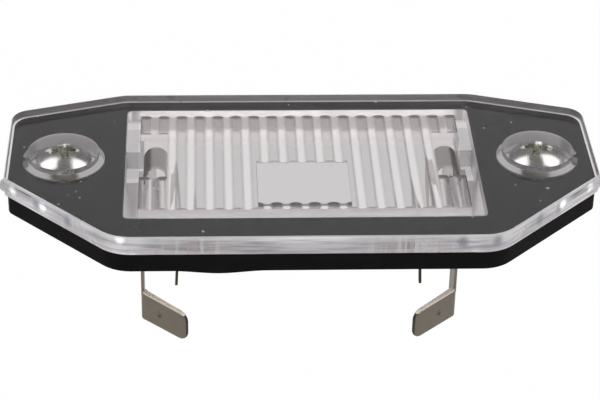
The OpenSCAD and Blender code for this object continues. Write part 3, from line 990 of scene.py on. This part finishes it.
def add_mesh(bm, other, offset):
    """Adds one bmesh to another, moved by an offset."""
    bmesh.ops.translate(other, verts=other.verts, vec=offset)
    carried = bpy.data.meshes.new("carried")
    other.to_mesh(carried)
    other.free()
    bm.from_mesh(carried)
    bpy.data.meshes.remove(carried)


def screw_mesh(side, settings):
    """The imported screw's head on a modelled neck and thread."""
    name = "screw_right" if side > 0 else "screw_left"
    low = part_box(name)[0]
    bm = merged_copy(name)
    cut = (0, 0, HEAD_SEAT + 0.21 * MM)
    bmesh.ops.bisect_plane(bm, geom=whole(bm), plane_co=cut, plane_no=(0, 0, 1), clear_inner=True)
    bmesh.ops.holes_fill(bm, edges=[edge for edge in bm.edges if edge.is_boundary])
    for vert in bm.verts:
        if vert.co.z < HEAD_SEAT + 0.25 * MM:
            vert.co.z = HEAD_SEAT
    core = THREAD_R - settings.thread_depth
    point = low.z + POINT_L
    offset = Vector((side * SCREW_X, 0, 0))
    add_mesh(bm, shank(core, NECK_R, HEAD_SEAT + 0.3 * MM, 0, point, low.z), offset)
    add_mesh(bm, thread_ridge(core, THREAD_R, settings.pitch, -0.5 * MM, low.z + 1.1 * MM), offset)
    for vert in bm.verts:
        depth = (point - vert.co.z) / POINT_L
        out = vert.co.xy - offset.xy
        if depth > 0 and vert.co.z > low.z + 0.52 * MM and out.length > core * 1.001:
            vert.co.xy = offset.xy + out * (1 - 0.62 * depth)
    return bm


# Operators, one for each piece or pair of pieces and one for the stage


class LAMP_OT_lens(bpy.types.Operator):
    """Give the lens its clear moulded plastic"""

    bl_idname = "lamp.lens"
    bl_label = "Lens"

    def execute(self, context):
        settings = context.scene.lamp_lens
        piece = finished(lens_mesh(), "clear_lens", clear_plastic(settings), 25.0)
        piece.data.materials.append(hazy_plastic(settings))
        piece.data.materials.append(rim_plastic(settings))
        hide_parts("lens")
        return {"FINISHED"}


class LAMP_OT_gasket(bpy.types.Operator):
    """Build the rubber gasket behind the plate"""

    bl_idname = "lamp.gasket"
    bl_label = "Gasket"

    def execute(self, context):
        settings = context.scene.lamp_gasket
        material = gasket_rubber(settings)
        piece = finished(gasket_mesh(settings), "rubber_gasket", material, 30.0)
        keep_flat(piece)
        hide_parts("gasket")
        return {"FINISHED"}


class LAMP_OT_contacts(bpy.types.Operator):
    """Build the two spring contacts with their folded blades"""

    bl_idname = "lamp.contacts"
    bl_label = "Contacts"

    def execute(self, context):
        settings = context.scene.lamp_contacts
        material = contact_strip(settings)
        for name in ("contact_left", "contact_right"):
            piece = finished(contact_mesh(name), "nickel_" + name, material, 28.0)
            round_edges(piece, settings.edge, 40)
            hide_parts(name)
        return {"FINISHED"}


class LAMP_OT_screws(bpy.types.Operator):
    """Build the two fixing screws with their threads"""

    bl_idname = "lamp.screws"
    bl_label = "Screws"

    def execute(self, context):
        settings = context.scene.lamp_screws
        material = screw_steel(settings)
        for side, name in ((-1, "screw_left"), (1, "screw_right")):
            piece = finished(screw_mesh(side, settings), "threaded_" + name, material, 32.0)
            round_edges(piece, settings.edge, 45)
            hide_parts(name)
        return {"FINISHED"}


def seen_as_backdrop(tree):
    """1 where the camera or glass looks at the backdrop, and 1 where metal mirrors it."""
    path = node(tree, "ShaderNodeLightPath")
    looked = maths(tree, "MAXIMUM", path.outputs["Is Camera Ray"], path.outputs["Is Transmission Ray"])
    return looked, path.outputs["Is Glossy Ray"]


def shader_mix(tree, share, first, second):
    """A Mix Shader node on two shaders."""
    made = node(tree, "ShaderNodeMixShader")
    link(tree, share, made.inputs[0])
    tree.links.new(first.outputs[0], made.inputs[1])
    tree.links.new(second.outputs[0], made.inputs[2])
    return made


def floor_material(settings):
    """A pale floor that shows as the white background, takes the lamp's shadow and is clear from below."""
    material = bpy.data.materials.new("pale_floor")
    material.use_nodes = True
    tree = material.node_tree
    tree.nodes.clear()
    lit = node(tree, "ShaderNodeBsdfDiffuse")
    lit.inputs["Color"].default_value = (*settings.floor, 1)
    glow = node(tree, "ShaderNodeEmission")
    glow.inputs["Strength"].default_value = 1.0
    looked, glossy = seen_as_backdrop(tree)
    share = product(tree, maths(tree, "MAXIMUM", looked, glossy), BACKDROP_SHARE)
    shape = node(tree, "ShaderNodeNewGeometry")
    clear = node(tree, "ShaderNodeBsdfTransparent")
    seen = shader_mix(tree, shape.outputs["Backfacing"], shader_mix(tree, share, lit, glow), clear)
    end = node(tree, "ShaderNodeOutputMaterial")
    tree.links.new(seen.outputs[0], end.inputs[0])
    return material


def studio_world(settings):
    """Plain surroundings that light the lamp evenly and show as the white background."""
    world = bpy.data.worlds.new("studio")
    world.use_nodes = True
    tree = world.node_tree
    tree.nodes.clear()
    back = node(tree, "ShaderNodeBackground")
    back.inputs["Color"].default_value = (1, 1, 1, 1)
    looked, glossy = seen_as_backdrop(tree)
    plain = ranged(tree, glossy, 0.0, 1.0, to_low=settings.surroundings, to_high=settings.sheen)
    link(tree, maths(tree, "MAXIMUM", looked, plain), back.inputs["Strength"])
    end = node(tree, "ShaderNodeOutputWorld")
    tree.links.new(back.outputs[0], end.inputs[0])
    return world


def soft_lamp(name, place, size, power):
    """A square studio lamp aimed at the middle of the lens."""
    light = bpy.data.lights.new(name, "AREA")
    light.shape = "RECTANGLE"
    light.size = size[0]
    light.size_y = size[1]
    light.energy = power
    lamp = bpy.data.objects.new(name, light)
    bpy.context.scene.collection.objects.link(lamp)
    lamp.location = place
    aim = Vector((0, 0, LENS_HIGH.z)) - Vector(place)
    lamp.rotation_mode = "QUATERNION"
    lamp.rotation_quaternion = aim.to_track_quat("-Z", "Y")


def camera_matrix(settings):
    """The camera's axes and place from its elevation, yaw, roll, distance and aim."""
    ce, se = math.cos(settings.elevation), math.sin(settings.elevation)
    cw, sw = math.cos(settings.yaw), math.sin(settings.yaw)
    back = Vector((sw * ce, -cw * ce, se))
    right = Vector((cw, sw, 0))
    up = back.cross(right)
    across = math.cos(settings.roll) * right + math.sin(settings.roll) * up
    upright = -math.sin(settings.roll) * right + math.cos(settings.roll) * up
    place = Vector(settings.aim) + settings.distance * back
    return Matrix.Translation(place) @ Matrix((across, upright, back)).transposed().to_4x4()


class LAMP_OT_stage(bpy.types.Operator):
    """Lay the pale floor and set up the soft studio light and the camera"""

    bl_idname = "lamp.stage"
    bl_label = "Stage"

    def execute(self, context):
        settings = context.scene.lamp_stage
        bm = bmesh.new()
        bmesh.ops.create_grid(bm, x_segments=1, y_segments=1, size=FLOOR_HALF)
        bmesh.ops.translate(bm, verts=bm.verts, vec=(0, 0, cad_box[0].z - settings.floor_drop))
        mesh = bpy.data.meshes.new("floor")
        bm.to_mesh(mesh)
        bm.free()
        floor = bpy.data.objects.new("floor", mesh)
        mesh.materials.append(floor_material(settings))
        context.scene.collection.objects.link(floor)
        context.scene.world = studio_world(settings)
        for name, place, size, power in STUDIO_LAMPS:
            soft_lamp(name, place, size, power)
        eye = bpy.data.cameras.new("camera")
        eye.sensor_width = SENSOR_W
        eye.lens = settings.focal_length
        eye.clip_start = CLIP_NEAR
        eye.clip_end = CLIP_FAR
        camera = bpy.data.objects.new("camera", eye)
        context.scene.collection.objects.link(camera)
        camera.matrix_world = camera_matrix(settings)
        context.scene.camera = camera
        context.scene.view_settings.view_transform = "Standard"
        return {"FINISHED"}


class LAMP_PT_finish(bpy.types.Panel):
    """The sidebar panel with every piece of the lamp"""

    bl_idname = "LAMP_PT_finish"
    bl_label = "Number Plate Lamp"
    bl_space_type = "VIEW_3D"
    bl_region_type = "UI"
    bl_category = "Lamp"

    def draw(self, context):
        scene = context.scene
        groups = (
            ("lamp.lens", scene.lamp_lens),
            ("lamp.gasket", scene.lamp_gasket),
            ("lamp.contacts", scene.lamp_contacts),
            ("lamp.screws", scene.lamp_screws),
            ("lamp.stage", scene.lamp_stage),
        )
        for operator, settings in groups:
            box = self.layout.box()
            box.operator(operator)
            for name in settings.__annotations__:
                box.prop(settings, name)


CLASSES = (
    LampLensSettings,
    LampGasketSettings,
    LampContactSettings,
    LampScrewSettings,
    LampStageSettings,
    LAMP_OT_lens,
    LAMP_OT_gasket,
    LAMP_OT_contacts,
    LAMP_OT_screws,
    LAMP_OT_stage,
    LAMP_PT_finish,
)

SETTINGS = (
    ("lamp_lens", LampLensSettings),
    ("lamp_gasket", LampGasketSettings),
    ("lamp_contacts", LampContactSettings),
    ("lamp_screws", LampScrewSettings),
    ("lamp_stage", LampStageSettings),
)


def register():
    """Adds the classes and the scene's settings."""
    for made in CLASSES:
        bpy.utils.register_class(made)
    for name, group in SETTINGS:
        setattr(bpy.types.Scene, name, bpy.props.PointerProperty(type=group))


def unregister():
    """Takes the settings and the classes away again."""
    for name, group in SETTINGS:
        delattr(bpy.types.Scene, name)
    for made in reversed(CLASSES):
        bpy.utils.unregister_class(made)


def main():
    """Builds every piece and the stage."""
    register()
    bpy.ops.lamp.stage()
    bpy.ops.lamp.lens()
    bpy.ops.lamp.gasket()
    bpy.ops.lamp.contacts()
    bpy.ops.lamp.screws()


if __name__ == "__main__":
    main()
